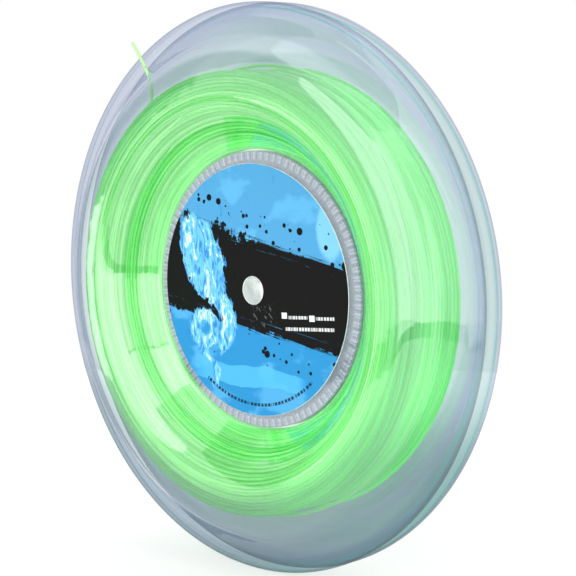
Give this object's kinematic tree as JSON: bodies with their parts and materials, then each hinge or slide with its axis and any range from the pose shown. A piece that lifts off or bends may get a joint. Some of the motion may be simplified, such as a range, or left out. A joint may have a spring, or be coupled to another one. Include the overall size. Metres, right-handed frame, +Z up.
{
  "type": "racket string reel",
  "caption": "Clear dished two-shell reel for racket strings, with a ribbed core, round labels, a full winding of round monofilament and its loose end through a hole in the front shell.",
  "frame": {"origin": "middle of the hub, on the reel's axis and halfway between the two rims", "axes": "Y along the reel's axis with the front label facing -Y, +Z up with the reel standing on its rim, X to the right seen from the front"},
  "size_m": [0.2198, 0.042, 0.2198],
  "materials": {
    "clear_plastic": "clear, thin, glossy moulded plastic",
    "core_plastic": "clear, glossy, ribbed",
    "label_paper": "printed paper with a light satin varnish",
    "string_plastic": "smooth drawn monofilament, semi-gloss"
  },
  "bodies": {
    "root": {"front_shell": "clear_plastic", "rear_shell": "clear_plastic", "core_ring": "core_plastic", "front_label": "label_paper", "rear_label": "label_paper", "string_winding": "string_plastic", "string_loose_end": "string_plastic"}
  },
  "joints": []
}
